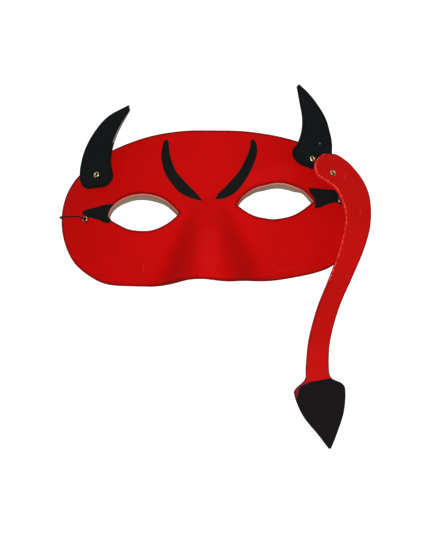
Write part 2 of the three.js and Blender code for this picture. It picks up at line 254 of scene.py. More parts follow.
# The rims of the eye holes, in runs that each end at the sharp corner where the next begins
LEFT_EYE = [
    [(-16.5, -3.7), (-21.1, -7.6), (-26.2, -10.3), (-31.6, -12), (-37.2, -12.2), (-46.1, -10.2),
     (-53.8, -5.2), (-57.4, -1.5), (-57.3, 0.6), (-55.1, 4.4), (-50.2, 8), (-43.6, 10.1), (-36, 9.9),
     (-29.6, 8), (-24.5, 5.2), (-20.6, 1.2)],
]
RIGHT_EYE = [
    [(60.6, -0.1), (55.6, 6), (50.2, 9), (43.7, 10.9), (38, 10.8), (33.1, 9.7), (27.4, 8.3),
     (20.8, 4.1)],
    [(16.5, -1.2), (20.5, -4.8), (26.1, -8.2), (32.1, -9.8), (38, -10.5), (46.9, -8.9), (54, -5.3)],
]

LEFT_HORN_INNER = [
    (-62.2, 17.7), (-58.7, 18.1), (-55.9, 20.3), (-54.3, 24.1), (-55.2, 31.8), (-54, 40),
    (-50.9, 48.2), (-46.9, 55.4), (-42, 62.4),
]
LEFT_HORN_OUTER = [
    (-65, 18), (-70.6, 18.4), (-73.2, 21.6), (-73.9, 26.9), (-72.8, 34.3), (-69.7, 43),
    (-63.6, 52.3), (-54.8, 60.6), (-42.4, 65.7),
]
RIGHT_HORN_INNER = [
    (64.3, 19.7), (56.4, 22.6), (53.1, 25.2), (51.6, 28.5), (52, 32.5), (55.1, 36.4), (58, 44),
    (58.9, 52.2), (57.9, 61.5), (56.9, 70.2),
]
RIGHT_HORN_OUTER = [
    (66.7, 18.7), (71.5, 20.4), (73.9, 24.5), (74.7, 30.6), (75.2, 36.7), (74.4, 44), (72.4, 52.2),
    (67.8, 60.6), (63.1, 66.9), (58.3, 71.7),
]
TAIL_INNER = [
    (68.1, 28.2), (64.5, 24.3), (63.4, 19.5), (65.1, 15.1), (70.1, 11.4), (74.9, 7.3), (78, 0),
    (79.4, -9.1), (77.8, -18), (73.1, -32), (66.5, -46.5), (58.9, -62), (53.1, -79), (50.5, -94.1),
    (49.5, -101.2), (43.7, -106.3), (42.7, -110.3), (46.8, -122.4), (55.3, -134.7), (60.4, -142.5),
]
TAIL_OUTER = [
    (70.7, 29), (76.9, 28.8), (82.9, 24.9), (87.6, 19.7), (91.5, 13.5), (94.1, 6.1), (94.9, -2),
    (94.1, -12), (91.4, -22.2), (86.2, -34.3), (79.4, -47.1), (71.6, -62.5), (65.8, -80),
    (64.1, -95), (65.1, -101.4), (71.2, -105.2), (72.7, -110), (70.8, -122.2), (65.7, -134.7),
    (61.8, -142.7),
]

# Black paint
LEFT_BROW = [
    [(-20.9, 41.5), (-21.9, 41.4), (-23.2, 39.9), (-24, 36.8), (-24.8, 33.2), (-24.9, 30.1),
     (-24.5, 26), (-23.6, 21.8), (-21.9, 17.7), (-19.4, 13.3), (-16.8, 9.6), (-13.6, 6.6), (-9.5, 4.3),
     (-5.8, 2.6)],
    [(-2.8, 1.3), (-4.7, 5.1), (-7.1, 8.4), (-10.2, 12.1), (-13.8, 16.8), (-17, 21.7), (-18.8, 27.4),
     (-19.7, 31.8), (-20, 35.7), (-20, 39.1), (-20.5, 41)],
]
RIGHT_BROW = [
    [(28.4, 38.8), (29.7, 37.3), (30.4, 34.5), (30.3, 30.6), (29.4, 27), (27.6, 22.8), (25.9, 19),
     (23.3, 14.5), (20.4, 10.6), (17.7, 7.4), (14.8, 5.1), (11.7, 3.4), (7.5, 2.1)],
    [(4.1, 2.1), (5.1, 4.1), (7.1, 6.8), (10.7, 9.8), (14.2, 13.6), (17.4, 16.8), (20.4, 21.1),
     (23, 25.7), (25.1, 30.1), (26.5, 34.3), (27, 37.4)],
]
LEFT_DART = [
    [(-73.4, 4.1), (-71.6, 5), (-69.3, 5.5), (-64.7, 5.7), (-59.4, 6.3)],
    [(-54.7, 6.2), (-52.9, 0.9)],
    [(-55.8, -4.1), (-57.7, -5.2), (-60.3, -4.5), (-62.9, -2.7), (-65.8, -1.4), (-68.5, 0),
     (-71.3, 1.2)],
]
RIGHT_DART = [
    [(58.1, 8.2), (64, 7.9), (71, 7.5), (75.7, 7.6)],
    [(80.4, 6.8), (78.5, -1.9), (74.7, -0.6), (69.6, -1.6), (64.9, -3.7)],
    [(62.3, -4.6), (61.3, -4.2), (61.3, -1.3), (61.1, 1.6), (59.1, 4.8)],
]
SPADE_PAINT = [
    [(76, -101.6), (69, -101.7), (64.1, -101.7), (57.5, -102.5), (51.7, -103.3), (46.5, -105.8),
     (44.6, -110.8)],
    [(41.7, -113.4), (40, -125), (58, -142), (66, -142), (80, -125)],
]


def distances(curve):
    """How far along a line each of its points is"""
    return np.concatenate([[0], np.cumsum(np.linalg.norm(np.diff(curve, axis=0), axis=1))])


def even(curve, step):
    """The same line with its points an even step apart"""
    along = distances(curve)
    count = max(2, round(along[-1] / step))
    places = np.linspace(0, along[-1], count + 1)
    return np.stack([np.interp(places, along, column) for column in curve.T], axis=1)


CURVE_STEPS = 16


def longer(points):
    """A line with one more point past each end"""
    return np.vstack([2 * points[0] - points[1], points, 2 * points[-1] - points[-2]])


def through(points, closed=False):
    """A Catmull-Rom curve"""
    points = np.array(points, float)
    points = np.vstack([points[-1:], points, points[:2]]) if closed else longer(points)
    t = np.linspace(0, 1, CURVE_STEPS, endpoint=False)[:, None]
    spans = []
    for a, b, c, d in zip(points, points[1:], points[2:], points[3:]):
        bend = (2 * a - 5 * b + 4 * c - d) * t**2 + (3 * b - a - 3 * c + d) * t**3
        spans.append((2 * b + (c - a) * t + bend) / 2)
    return np.vstack([*spans, points[-2:-1]])


def ring_of(runs, step, closed=False):
    """One closed outline, smooth or of runs that meet at corners"""
    if closed:
        return even(through(runs, closed=True), step)[:-1]
    ends = [run[0] for run in runs[1:] + runs[:1]]
    return np.vstack([even(through([*run, end]), step)[:-1] for run, end in zip(runs, ends)])


def strip_ring(inner, outer, step):
    """The outline of a strip between two edges"""
    one, other = even(through(inner), step), even(through(outer), step)[::-1]
    tip, base = even(np.array([one[-1], other[0]]), step), even(np.array([other[-1], one[0]]), step)
    return np.vstack([one[:-1], tip[:-1], other[:-1], base[:-1]])


def counterclockwise(ring):
    nxt = np.roll(ring, -1, axis=0)
    area = np.sum(ring[:, 0] * nxt[:, 1] - nxt[:, 0] * ring[:, 1])
    return ring if area > 0 else ring[::-1]


def inside(points, rings):
    """Whether each point is in an area with holes, by the even-odd rule"""
    found = np.zeros(len(points), bool)
    x, y = points[:, :1], points[:, 1:]
    for ring in rings:
        nxt = np.roll(ring, -1, axis=0)
        crosses = (ring[:, 1] > y) != (nxt[:, 1] > y)
        rise = np.where(nxt[:, 1] == ring[:, 1], 1, nxt[:, 1] - ring[:, 1])
        at = ring[:, 0] + (nxt[:, 0] - ring[:, 0]) * (y - ring[:, 1]) / rise
        found ^= (np.sum(crosses & (x < at), axis=1) % 2).astype(bool)
    return found


def distance_to(points, rings):
    """Each point's distance to the nearest outline"""
    nearest = np.full(len(points), np.inf)
    for ring in rings:
        start = ring[None]
        run = (np.roll(ring, -1, axis=0) - ring)[None]
        lengths = np.maximum(np.sum(run * run, axis=2), 1e-12)
        share = np.sum((points[:, None] - start) * run, axis=2) / lengths
        foot = start + np.clip(share, 0, 1)[..., None] * run
        gaps = np.linalg.norm(points[:, None] - foot, axis=2)
        nearest = np.minimum(nearest, gaps.min(axis=1))
    return nearest


def of_nearest(points, rings, values):
    """For each point, the value at the nearest corner of the outlines"""
    corners = np.vstack(rings)
    gaps = np.linalg.norm(points[:, None] - corners[None], axis=2)
    return np.concatenate(values)[gaps.argmin(axis=1)]


def leather_left(ring):
    """Unit directions from an outline into the leather, which lies on its left"""
    run = np.roll(ring, -1, axis=0) - np.roll(ring, 1, axis=0)
    return unit(run[:, ::-1] * [-1, 1])


def edge_rounding(ring, rings, directions):
    """How far the rounded edge reaches in, less near a narrow tip"""
    narrowings, smoothings = 12, 3
    room_needed, narrower = 0.93, 0.75
    reach = np.full(len(ring), EDGE_RADIUS)
    for _ in range(narrowings):
        room = distance_to(ring + directions * reach[:, None], rings)
        reach = np.where(room < room_needed * reach, narrower * reach, reach)
    for _ in range(smoothings):
        reach = np.minimum(reach, (np.roll(reach, 1) + np.roll(reach, -1) + 2 * reach) / 4)
    return reach


# Each sheet's materials, in order
GRAIN, PAINT, CUT, FLESH = range(4)
EDGE_RADIUS = 0.35
# The rounding in three steps, as sines and cosines
EDGE_TURNS = [(math.sin(a), math.cos(a)) for a in np.radians([30, 60, 90])]
# How many of a rim's bands belong to the front
FRONT_BANDS = 2
PAINT_CLEARANCE = 0.35
BARE_REACH = 2.5


def sheet_plan(outline, insets, paint, step):
    """A sheet's points and triangles in plan, and which of the points each inset rim has. The points
    are the inset rims, the paint's edges and a staggered grid between them."""
    points, edges, starts = [], [], [0]
    for ring in [*insets, *paint]:
        start, count = starts[-1], len(ring)
        keep = np.ones(count, bool)
        if len(starts) > len(insets):
            # Paint's edges count only inside the leather
            keep = inside(ring, insets) & (distance_to(ring, insets) > PAINT_CLEARANCE)
            keep &= np.roll(keep, -1)
        edges += [(start + i, start + (i + 1) % count) for i in range(count) if keep[i]]
        points.append(ring)
        starts.append(start + count)
    low, high = outline.min(axis=0), outline.max(axis=0)
    grid = []
    for k, y in enumerate(np.arange(low[1], high[1], step * math.sqrt(3) / 2)):
        row = np.arange(low[0] + step / 2 * (k % 2), high[0], step)
        grid.append(np.stack([row, np.full_like(row, y)], axis=1))
    grid = np.vstack(grid)
    grid = grid[inside(grid, insets)]
    points.append(grid[distance_to(grid, [*insets, *paint]) > 0.5 * step])
    corners = [Vector(point) for point in np.vstack(points)]
    plan, _, faces, origin, _, _ = delaunay_2d_cdt(corners, edges, [], 0, 1e-6)
    plan = np.array([tuple(point) for point in plan])
    faces = np.array([list(face) for face in faces])
    faces = faces[inside(plan[faces].mean(axis=1), insets)]
    used = np.unique(faces)
    renumber = np.full(len(plan), -1)
    renumber[used] = np.arange(len(used))
    place_of = {old: renumber[new] for new, olds in enumerate(origin) for old in olds}
    rim_places = [
        np.array([place_of[i] for i in range(start, start + len(ring))])
        for start, ring in zip(starts, insets)
    ]
    return plan[used], renumber[faces], rim_places


def leather_sheet(name, outline, holes, height, thickness, materials, paint=(), paint_sides=False,
                  lean=None, relief=None, bare=None, step=1):
    """A sheet of leather with rounded edges, cut to an outline and holes. paint is a list of outlines
    apart from each other, and reaches down the sides if paint_sides is set. lean says how far the cut
    slants at a rim's back, relief lifts the front, and bare is how much raw leather a rim shows."""
    rings = [counterclockwise(outline)] + [counterclockwise(hole)[::-1] for hole in holes]
    directions = [leather_left(ring) for ring in rings]
    reaches = [edge_rounding(ring, rings, d) for ring, d in zip(rings, directions)]
    insets = [ring + d * reach[:, None] for ring, d, reach in zip(rings, directions, reaches)]
    shifts = [lean(ring) if lean else np.zeros_like(ring) for ring in rings]
    bares = [bare(ring) if bare else np.zeros(len(ring)) for ring in rings]
    plan, faces, rim_places = sheet_plan(outline, insets, paint, step)
    count = len(plan)

    # Front and back
    lift = relief(plan) if relief else np.zeros(count)
    back_plan = plan.copy()
    for places, shift in zip(rim_places, shifts):
        back_plan[places] += shift
    vertices = [
        off(height, plan, thickness / 2 + lift),
        off(height, back_plan, np.full(count, -thickness / 2)),
    ]
    rim_distance = distance_to(plan, rings)
    rim_attribute = [rim_distance, np.full(count, -thickness)]
    bare_attribute = [np.zeros(count), np.zeros(count)]
    close = rim_distance < BARE_REACH
    bare_attribute[0][close] = of_nearest(plan[close], rings, bares)
    all_faces = [*faces, *(faces[:, ::-1] + count)]
    is_painted = inside(plan[faces].mean(axis=1), paint)
    slots = [*np.where(is_painted, PAINT, GRAIN), *([FLESH] * len(faces))]

    # The rims, from the front's rounding down the cut to the back's
    levels = [(1 - s, thickness / 2, 1 - c) for s, c in EDGE_TURNS]
    levels += [(0, 0, 0)]
    levels += [(1 - s, -thickness / 2, -(1 - c)) for s, c in reversed(EDGE_TURNS)]
    total = 2 * count
    for ring, d, reach, shift, raw, places in zip(rings, directions, reaches, shifts, bares, rim_places):
        size = len(ring)
        loops = [places]
        for inset, offset, fall in levels:
            distance = offset - fall * reach + lift[places] * (offset > 0)
            depth = (thickness / 2 - distance) / thickness
            spot = ring + d * (inset * reach)[:, None] + shift * depth[:, None]
            vertices.append(off(height, spot, distance))
            rim_attribute.append(-depth * thickness)
            bare_attribute.append(raw)
            loops.append(np.arange(total, total + size))
            total += size
        loops.append(places + count)
        is_painted = inside(ring + d * reach[:, None] * 0.5, paint)
        for band, (upper, lower) in enumerate(zip(loops, loops[1:])):
            in_front = band < FRONT_BANDS
            for i in range(size):
                j = (i + 1) % size
                all_faces.append((upper[i], lower[i], lower[j], upper[j]))
                if is_painted[i] and (in_front or paint_sides):
                    slots.append(PAINT)
                else:
                    slots.append(GRAIN if in_front else CUT)

    # Where the leather rests, it is flattened against the floor
    corners = np.vstack(vertices)
    corners[:, 2] = np.maximum(corners[:, 2], 0)
    all_faces = [[int(corner) for corner in face] for face in all_faces]
    attributes = {"rim": np.concatenate(rim_attribute), "bare": np.concatenate(bare_attribute)}
    return add_piece(name, corners, all_faces, materials, attributes, slots)


# Colours
RED = (0.33, 0.0012, 0.0009)
RED_BURNT = (0.09, 0.001, 0.001)
TAIL_RED = (0.33, 0.003, 0.002)
TAIL_BURNT = (0.1, 0.004, 0.003)
TAIL_FIBRES = (0.72, 0.11, 0.09)
BLACK = (0.0032, 0.0042, 0.0046)
BLACK_BURNT = (0.002, 0.002, 0.002)
BLACK_PAINT = (0.0042, 0.005, 0.0045)
SPADE_BLACK = (0.0048, 0.0036, 0.0045)
SUEDE = (0.3, 0.2, 0.13)
BLACK_SUEDE = (0.03, 0.03, 0.03)
# A cut edge's dye, and its raw leather at the front, in the middle and at the back
MASK_CUT = ((0.1, 0.002, 0.002), (0.46, 0.17, 0.135), (0.2, 0.105, 0.075), (0.18, 0.15, 0.105))
# The tail's cut is a brighter red than the tail's face: painted light on a cut that the lamp only grazes
TAIL_CUT_PAINTED_LIGHT = ((0.52, 0.007, 0.005), (0.56, 0.02, 0.015), (0.52, 0.007, 0.005), (0.5, 0.007, 0.005))
HORN_CUT = ((0.004, 0.004, 0.005), (0.2, 0.2, 0.2), (0.18, 0.18, 0.18), (0.15, 0.15, 0.15))
# Brass, where it is bright and where it is dull
BRASS = ((0.7, 0.56, 0.3), (0.26, 0.16, 0.06))
# The lacing eyelets' brass is tinted pink and darkened, a painted reflection of the red leather round
# them
PINK_BRASS_PAINTED_REFLECTION = ((0.6, 0.3, 0.22), (0.2, 0.06, 0.035))
# Painted shade down an eyelet's bore
BORE_PAINTED_SHADE = (0.02, 0.012, 0.006)
ELASTIC_COLOUR = (0.01, 0.01, 0.01)
ELASTIC_SHADE = (0.003, 0.003, 0.003)
FLOOR_COLOUR = (0.74, 0.74, 0.74, 1)


# Shaders
def material_tree(name):
    material = bpy.data.materials.new(name)
    material.use_nodes = True
    return material, material.node_tree


def set_inputs(tree, node, inputs):
    for key, value in inputs.items():
        if isinstance(value, bpy.types.NodeSocket):
            tree.links.new(value, node.inputs[key])
        else:
            node.inputs[key].default_value = value


def set_surface(tree, colour, roughness, specular=0.5, **others):
    inputs = {"Base Color": colour, "Roughness": roughness, "Specular IOR Level": specular, **others}
    set_inputs(tree, tree.nodes["Principled BSDF"], inputs)


def add_node(tree, kind, inputs=None, **settings):
    made = tree.nodes.new(kind)
    for key, value in settings.items():
        setattr(made, key, value)
    set_inputs(tree, made, inputs or {})
    return made


def maths(tree, operation, *values, clamp=False):
    inputs = dict(enumerate(values))
    return add_node(tree, "ShaderNodeMath", inputs, operation=operation, use_clamp=clamp).outputs[0]


def product(tree, one, other):
    return maths(tree, "MULTIPLY", one, other)


def vector_maths(tree, operation, inputs, output="Vector"):
    return add_node(tree, "ShaderNodeVectorMath", inputs, operation=operation).outputs[output]


def scaled(tree, vector, factor):
    return vector_maths(tree, "SCALE", {0: vector, 3: factor})


def weighted(tree, start, *terms):
    """A start plus each value times its weight"""
    total = start
    for value, weight in terms:
        total = maths(tree, "ADD", total, product(tree, value, weight))
    return total


def ramp(tree, value, low, high, start=0, end=1):
    """A smooth change from start at low to end at high"""
    inputs = {"Value": value, "From Min": low, "From Max": high, "To Min": start, "To Max": end}
    return add_node(tree, "ShaderNodeMapRange", inputs, interpolation_type="SMOOTHSTEP").outputs[0]


def mixed(tree, factor, one, other):
    """One colour at factor 0, the other at 1"""
    sides = [side if isinstance(side, bpy.types.NodeSocket) else (*side, 1) for side in (one, other)]
    # A mix of colours has its factor first and its two colours at these two places
    inputs = {0: factor, 6: sides[0], 7: sides[1]}
    return add_node(tree, "ShaderNodeMix", inputs, data_type="RGBA", blend_type="MIX").outputs[2]


def millimetres(tree):
    """The place on the piece, in millimetres"""
    return scaled(tree, add_node(tree, "ShaderNodeTexCoord").outputs["Object"], 1 / MM)


def noise_at(tree, place, size, inputs, output):
    inputs = {"Vector": place, "Scale": 1 / size, **inputs}
    return add_node(tree, "ShaderNodeTexNoise", inputs).outputs[output]


def cloud(tree, place, size, detail=3, roughness=0.55):
    """Noise whose lumps are about a size in millimetres"""
    return noise_at(tree, place, size, {"Detail": detail, "Roughness": roughness}, "Fac")


def attribute(tree, name):
    return add_node(tree, "ShaderNodeAttribute", attribute_name=name).outputs["Fac"]


def bumped(tree, height, distance):
    """The normal of a relief whose depth is a distance in millimetres"""
    return add_node(tree, "ShaderNodeBump", {"Height": height, "Distance": distance * MM}).outputs[0]


def stroke(tree, flat, start, end, inner, outer):
    """1 along a straight stroke between two places in plan, falling to 0 at its outer half width"""
    start, end = (np.append(np.array(place) + PLAN_ORIGIN[:2], 0) for place in (start, end))
    run = end - start
    offset = vector_maths(tree, "SUBTRACT", {0: flat, 1: tuple(start)})
    share = vector_maths(tree, "DOT_PRODUCT", {0: offset, 1: tuple(run / (run @ run))}, "Value")
    share = maths(tree, "MULTIPLY", share, 1, clamp=True)
    foot = scaled(tree, tuple(run), share)
    gap = vector_maths(tree, "DISTANCE", {0: offset, 1: foot}, "Value")
    return ramp(tree, gap, inner, outer, 1, 0)


# Sizes in the leather's texture, in millimetres
BLOTCH_SIZE = 22
FIBRE_SIZE = 1.6
PORE_SIZE = 0.85
PORE_RIM = 0.16
WAVER_SIZE = 2.5
WAVER = 1.6
BURNISH_START = 0.3
BURNISH_LUMP = 3
# The burnish ends between these two places, the first down in the cut
BURNISH_END = (-0.3, 0.1)
# The raised fibres: their dots, the clouds that are dots, and the line that they keep to
DOT_SIZE = 1.1
DOT_SHARE = (0.46, 0.56)
DOT_LINE = (0.05, 0.35)
# How much each changes the leather's shade
PLAIN_SHADE = 0.82
BLOTCH_SHADE = 0.22
FIBRE_SHADE = 0.14
PORE_SHADE = -0.05
BURNISH_SHADE = 0.95
LEATHER_ROUGHNESS = 0.65
FIBRE_ROUGHNESS = 0.2


def leather(name, colour, dark, specular=0.03, grain=0.05, raised=None, marks=(), burnt=2.3):
    """Dyed leather: blotchy colour, a fine grain with pores, marks, and a burnished line along its
    edges. Some marks are real wear and creases, some are painted shade and painted highlight.
    Where an edge is bare, its raised fibres catch the light instead, in broken dots."""
    material, tree = material_tree(name)
    place = millimetres(tree)
    blotches = cloud(tree, place, BLOTCH_SIZE, detail=2)
    fibres = cloud(tree, place, FIBRE_SIZE, detail=4, roughness=0.7)
    pores = add_node(
        tree, "ShaderNodeTexVoronoi", {"Vector": place, "Scale": 1 / PORE_SIZE},
        feature="DISTANCE_TO_EDGE").outputs["Distance"]
    creases = ramp(tree, pores, 0, PORE_RIM, 1, 0)
    shade = weighted(
        tree, PLAIN_SHADE, (blotches, BLOTCH_SHADE), (fibres, FIBRE_SHADE), (creases, PORE_SHADE))
    tint = scaled(tree, colour, shade)
    if marks:
        # The marks waver a little, and are laid out in plan
        waver = noise_at(tree, place, WAVER_SIZE, {"Detail": 2}, "Color")
        waver = vector_maths(tree, "SUBTRACT", {0: waver, 1: (0.5, 0.5, 0.5)})
        moved = vector_maths(tree, "MULTIPLY_ADD", {0: waver, 1: (WAVER, WAVER, WAVER), 2: place})
        flat = vector_maths(tree, "MULTIPLY", {0: moved, 1: (1, 1, 0)})
    for start, end, inner, outer, strength, worn in marks:
        reach = product(tree, stroke(tree, flat, start, end, inner, outer), strength)
        tint = mixed(tree, reach, tint, worn)
    rim = attribute(tree, "rim")
    bare = attribute(tree, "bare")
    uneven_rim = weighted(tree, rim, (cloud(tree, place, BURNISH_LUMP), 0.5))
    burnish = ramp(tree, uneven_rim, BURNISH_START, burnt, 1, 0)
    burnish = product(tree, burnish, ramp(tree, rim, *BURNISH_END))
    if raised:
        burnish = product(tree, burnish, maths(tree, "SUBTRACT", 1, bare, clamp=True))
    tint = mixed(tree, product(tree, burnish, BURNISH_SHADE), tint, dark)
    if raised:
        dots = ramp(tree, cloud(tree, place, DOT_SIZE, detail=1), *DOT_SHARE)
        line = product(tree, ramp(tree, rim, *DOT_LINE, 1, 0), bare)
        tint = mixed(tree, product(tree, line, dots), tint, raised)
    relief = weighted(tree, 0, (fibres, 0.6), (creases, -0.5))
    roughness = weighted(tree, LEATHER_ROUGHNESS, (fibres, FIBRE_ROUGHNESS))
    set_surface(tree, tint, roughness, specular, Normal=bumped(tree, relief, grain))
    return material


def paint(name, colour):
    """Brushed black paint, thin enough to follow the leather's grain"""
    material, tree = material_tree(name)
    place = millimetres(tree)
    fibres = cloud(tree, place, size=1.4, detail=4, roughness=0.7)
    patches = cloud(tree, place, size=9, detail=2)
    tint = scaled(tree, colour, weighted(tree, 0.5, (patches, 0.5), (fibres, 0.5)))
    roughness = weighted(tree, 0.6, (patches, 0.2))
    set_surface(tree, tint, roughness, specular=0.03, Normal=bumped(tree, fibres, 0.05))
    return material


# How deep in the cut the middle and the back colour set in, and over what depth bare leather ends
CUT_MIDDLE = (0.35, 0.95)
CUT_BACK = (1.2, 2.4)
BARE_END = 0.4


def cut_edge(name, dyed, front, middle, back, bare_to):
    """A cut face: raw fibres where it is bare, in three colours from the front to the back and down
    to a depth of bare_to, and dye elsewhere"""
    material, tree = material_tree(name)
    place = millimetres(tree)
    depth = product(tree, attribute(tree, "rim"), -1)
    fibres = cloud(tree, place, size=0.7, detail=4, roughness=0.7)
    patches = cloud(tree, place, size=3.5, detail=3)
    raw = mixed(tree, ramp(tree, depth, *CUT_MIDDLE), front, middle)
    raw = mixed(tree, ramp(tree, depth, *CUT_BACK), raw, back)
    raw = mixed(tree, product(tree, fibres, 0.3), raw, tuple(0.5 * part for part in back))
    reach = ramp(tree, depth, bare_to, bare_to + BARE_END, 1, 0)
    uneven_bare = maths(tree, "ADD", attribute(tree, "bare"), maths(tree, "SUBTRACT", patches, 0.5))
    shown = product(tree, ramp(tree, uneven_bare, 0.42, 0.58), reach)
    tint = mixed(tree, shown, dyed, raw)
    set_surface(tree, tint, roughness=0.85, specular=0.1, Normal=bumped(tree, fibres, 0.12))
    return material


def flesh_side(name, colour):
    """The suede back of the leather"""
    material, tree = material_tree(name)
    place = millimetres(tree)
    nap = cloud(tree, place, size=0.6, detail=5, roughness=0.75)
    stains = cloud(tree, place, size=16, detail=3)
    tint = scaled(tree, colour, weighted(tree, 0.5, (nap, 0.5), (stains, 0.5)))
    relief = {"Normal": bumped(tree, nap, 0.2), "Sheen Weight": 0.15}
    set_surface(tree, tint, roughness=0.95, specular=0.1, **relief)
    return material


def brass_metal(name, bright, dull):
    """Worn brass, with tarnish in patches and painted shade down its bore"""
    material, tree = material_tree(name)
    place = millimetres(tree)
    deep = attribute(tree, "deep")
    scratches = cloud(tree, place, size=0.35, detail=4, roughness=0.7)
    tarnish = cloud(tree, place, size=1.5)
    tint = mixed(tree, ramp(tree, tarnish, 0.42, 0.62), bright, dull)
    worn = ramp(tree, scratches, 0.3, 0.7, 0.22, 0.42)
    # Painted shade down the bore
    tint = mixed(tree, ramp(tree, deep, 0.1, 0.8), tint, BORE_PAINTED_SHADE)
    roughness = maths(tree, "MAXIMUM", worn, deep)
    relief = bumped(tree, scratches, 0.02)
    set_surface(tree, tint, roughness, Normal=relief, Metallic=1)
    return material


# The braid: yarns each way round, and how far they turn in a millimetre
YARNS = 8
YARN_TURN = 7


def braided_elastic():
    """Round elastic, braided from two sets of yarns"""
    material, tree = material_tree("elastic")
    along = attribute(tree, "along")
    around = attribute(tree, "around")
    yarns = []
    for way in (1, -1):
        phase = weighted(tree, 0, (along, YARN_TURN), (around, way * YARNS * math.tau))
        yarns.append(maths(tree, "SINE", phase))
    weave = maths(tree, "MAXIMUM", *yarns)
    tint = mixed(tree, ramp(tree, weave, -0.2, 1), ELASTIC_SHADE, ELASTIC_COLOUR)
    set_surface(tree, tint, roughness=0.85, specular=0.02, Normal=bumped(tree, weave, 0.06))
    return material


# The elastic strap
STRAP_RADIUS = 0.4
STRAP_STEPS = 8
STRAP_SIDES = 16
KNOT_DEPTH = 4
KNOT_SIZE = 0.3
KNOT_STEPS = 72
# The strap's route in plan, in metres, from the left knot to the right one
STRAP_ROUTE = [
    (-0.0703, -0.0009, 0.0128), (-0.0719, -0.0002, 0.0153), (-0.0726, 0.0001, 0.0163),
    (-0.0733, 0.0004, 0.0168), (-0.0742, 0.0008, 0.0166), (-0.0749, 0.0012, 0.0158),
    (-0.0758, 0.0018, 0.0144), (-0.0783, 0.0025, 0.0117), (-0.0812, 0.003, 0.0093),
    (-0.0839, 0.0034, 0.0071), (-0.0858, 0.0037, 0.0058), (-0.0872, 0.0039, 0.0048),
    (-0.0878, 0.0039, 0.0036), (-0.0875, 0.0037, 0.0027), (-0.0869, 0.0034, 0.00165),
    (-0.086, 0.0031, 0.0008), (-0.0846, 0.003, 0.00046), (-0.081, 0.0034, 0.00045),
    (-0.074, 0.008, 0.00045), (-0.066, 0.019, 0.00045), (-0.052, 0.0285, 0.00045),
    (-0.036, 0.029, 0.00045), (-0.022, 0.022, 0.00045), (-0.013, 0.012, 0.00045),
    (-0.004, 0.0035, 0.00045), (0.006, 0.003, 0.00045), (0.014, 0.013, 0.00045),
    (0.024, 0.025, 0.00045), (0.04, 0.0295, 0.00045), (0.056, 0.025, 0.00045), (0.071, 0.012, 0.00045),
    (0.08, 0.004, 0.00045), (0.0846, 0.0022, 0.0005), (0.0868, 0.0018, 0.00095),
    (0.0881, 0.0016, 0.002), (0.0883, 0.0017, 0.0034), (0.0872, 0.002, 0.0054),
    (0.0842, 0.0022, 0.0099), (0.0812, 0.0022, 0.0131), (0.0792, 0.0019, 0.0134),
    (0.0779, 0.0015, 0.0122), (0.0755, 0.0005, 0.0088),
]


def centripetal(points):
    """A centripetal Catmull-Rom curve"""
    points = longer(points)
    t = np.linspace(0, 1, STRAP_STEPS, endpoint=False)[:, None]
    spans = []
    for a, b, c, d in zip(points, points[1:], points[2:], points[3:]):
        before, span, after = (math.sqrt(np.linalg.norm(q - p)) for p, q in ((a, b), (b, c), (c, d)))
        start = ((b - a) / before - (c - a) / (before + span) + (c - b) / span) * span
        end = ((c - b) / span - (d - b) / (span + after) + (d - c) / after) * span
        rise = 3 * (c - b) - 2 * start - end
        turn = 2 * (b - c) + start + end
        spans.append(b + start * t + rise * t**2 + turn * t**3)
    return np.vstack([*spans, points[-2:-1]])


def tube(name, path, material):
    """The strap's elastic along a path, with round ends"""
    radius, sides = STRAP_RADIUS, STRAP_SIDES
    runs = np.diff(path, axis=0)
    runs = np.vstack([runs, runs[-1:]])
    runs[1:-1] = path[2:] - path[:-2]
    runs = unit(runs)
    along = distances(path)
    # Any direction that isn't along the path starts the frame
    side = unit(np.cross(runs[0], [0.3, 0.5, 0.8]))
    angles = np.linspace(0, math.tau, sides + 1)
    vertices, around, distance = [], [], []

    def add_ring(centre, run, size, place):
        up = np.cross(run, side)
        for angle in angles:
            vertices.append(centre + size * (math.cos(angle) * side + math.sin(angle) * up))
            around.append(angle / math.tau)
            distance.append(place)

    caps = [(math.cos(a), math.sin(a)) for a in np.radians([80, 50, 20])]
    for spread, reach in caps:
        add_ring(path[0] - runs[0] * radius * reach, runs[0], radius * spread, 0)
    for point, run, place in zip(path, runs, along):
        side = unit(side - run * (side @ run))
        add_ring(point, run, radius, place)
    for spread, reach in reversed(caps):
        add_ring(path[-1] + runs[-1] * radius * reach, runs[-1], radius * spread, along[-1])
    starts = range(0, len(vertices), sides + 1)
    faces = [
        (one + i, one + i + 1, two + i + 1, two + i)
        for one, two in zip(starts, starts[1:]) for i in range(sides)
    ]
    faces.append(tuple(range(sides))[::-1])
    faces.append(tuple(starts[-1] + i for i in range(sides)))
    return add_piece(name, vertices, faces, [material], {"along": distance, "around": around})


def overhand_knot(name, lacing, material):
    """A tight overhand knot behind a lacing eyelet, with its short tail"""
    normal = normal_of(mask_height, *lacing)
    middle = off(mask_height, lacing, -KNOT_DEPTH)
    across = unit(np.cross(normal, [0, 1, 0]))
    turn = np.stack([across, np.cross(normal, across), normal], axis=1)
    # An open trefoil
    t = np.linspace(0.25, math.tau - 0.2, KNOT_STEPS)
    loops = KNOT_SIZE * np.stack([
        np.sin(t) + 2 * np.sin(2 * t),
        0.8 * (np.cos(t) - 2 * np.cos(2 * t)),
        -1.15 * np.sin(3 * t),
    ], axis=1)
    return tube(name, middle + loops @ turn.T, material)


# Eyelets: the radii of the bore and the flange
FIXING = (0.75, 1.85)
LACING = (0.9, 1.85)
FLANGE_RISE = 0.42
FLANGE_BEDDING = 0.1
EYELET_SIDES = 32
FIXING_HOLE = 1
LACING_HOLE = 1.25
HOLE_SIDES = 20


def pierced(height, eyelet):
    """Where an eyelet's axis meets the middle of a sheet"""
    rounds, share = 20, 0.9
    distance = 0.0
    for _ in range(rounds):
        point = off(mask_height, eyelet, distance)
        distance += (height(point[0], point[1]) - point[2]) * share
    return point


